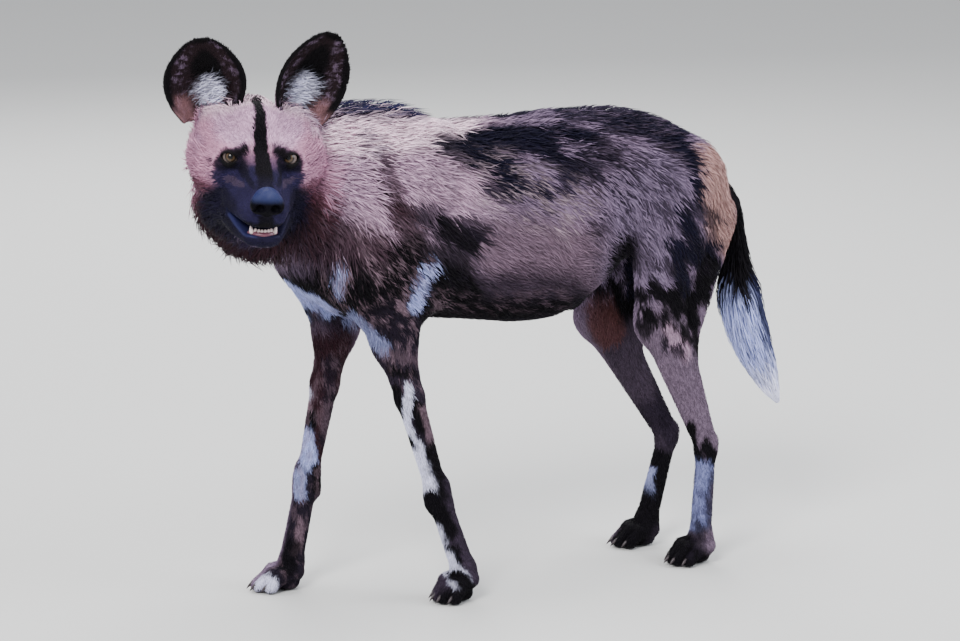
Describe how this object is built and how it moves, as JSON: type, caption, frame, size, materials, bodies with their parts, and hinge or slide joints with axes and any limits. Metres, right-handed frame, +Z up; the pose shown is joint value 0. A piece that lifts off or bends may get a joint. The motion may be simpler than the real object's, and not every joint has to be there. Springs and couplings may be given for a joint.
{
  "type": "african wild dog",
  "caption": "Standing life-size African wild dog with rounded ears, blotched dark, tan and white coat, slim legs and a white-tipped brush tail, its head turned aside.",
  "frame": {"origin": "on the floor, under the middle of the animal's bounding box", "axes": "-Y the way the body faces, +Y towards the tail, +X the animal's left, +Z up from the floor"},
  "size_m": [0.3326, 0.9995, 0.8399],
  "materials": {
    "body_coat": "short coat, tan and black blotches with white patches",
    "leg_coat": "short coat, dark with white and tan mottling",
    "face_coat": "short tan coat with a black mask and a dark ruff",
    "ear_coat": "very short black coat with pale hair inside",
    "tail_coat": "long coat, black then white",
    "nose_skin": "moist black skin",
    "eye": "wet, brown iris and dark pupil",
    "teeth": "moist enamel",
    "claw": "dark horn"
  },
  "bodies": {
    "root": {"trunk": "body_coat", "neck": "body_coat", "head": "face_coat", "jaw": "face_coat", "teeth_lower": "teeth", "nose": "nose_skin", "eye_left": "eye", "ear_left": "ear_coat", "eye_right": "eye", "ear_right": "ear_coat", "tail": "tail_coat", "fore_left_upper": "leg_coat", "fore_left_lower": "leg_coat", "fore_left_paw": "leg_coat", "fore_left_claw_1": "claw", "fore_left_claw_2": "claw", "fore_left_claw_3": "claw", "fore_left_claw_4": "claw", "fore_right_upper": "leg_coat", "fore_right_lower": "leg_coat", "fore_right_paw": "leg_coat", "fore_right_claw_1": "claw", "fore_right_claw_2": "claw", "fore_right_claw_3": "claw", "fore_right_claw_4": "claw", "hind_left_upper": "leg_coat", "hind_left_lower": "leg_coat", "hind_left_paw": "leg_coat", "hind_left_claw_1": "claw", "hind_left_claw_2": "claw", "hind_left_claw_3": "claw", "hind_left_claw_4": "claw", "hind_right_upper": "leg_coat", "hind_right_lower": "leg_coat", "hind_right_paw": "leg_coat", "hind_right_claw_1": "claw", "hind_right_claw_2": "claw", "hind_right_claw_3": "claw", "hind_right_claw_4": "claw"}
  },
  "joints": []
}
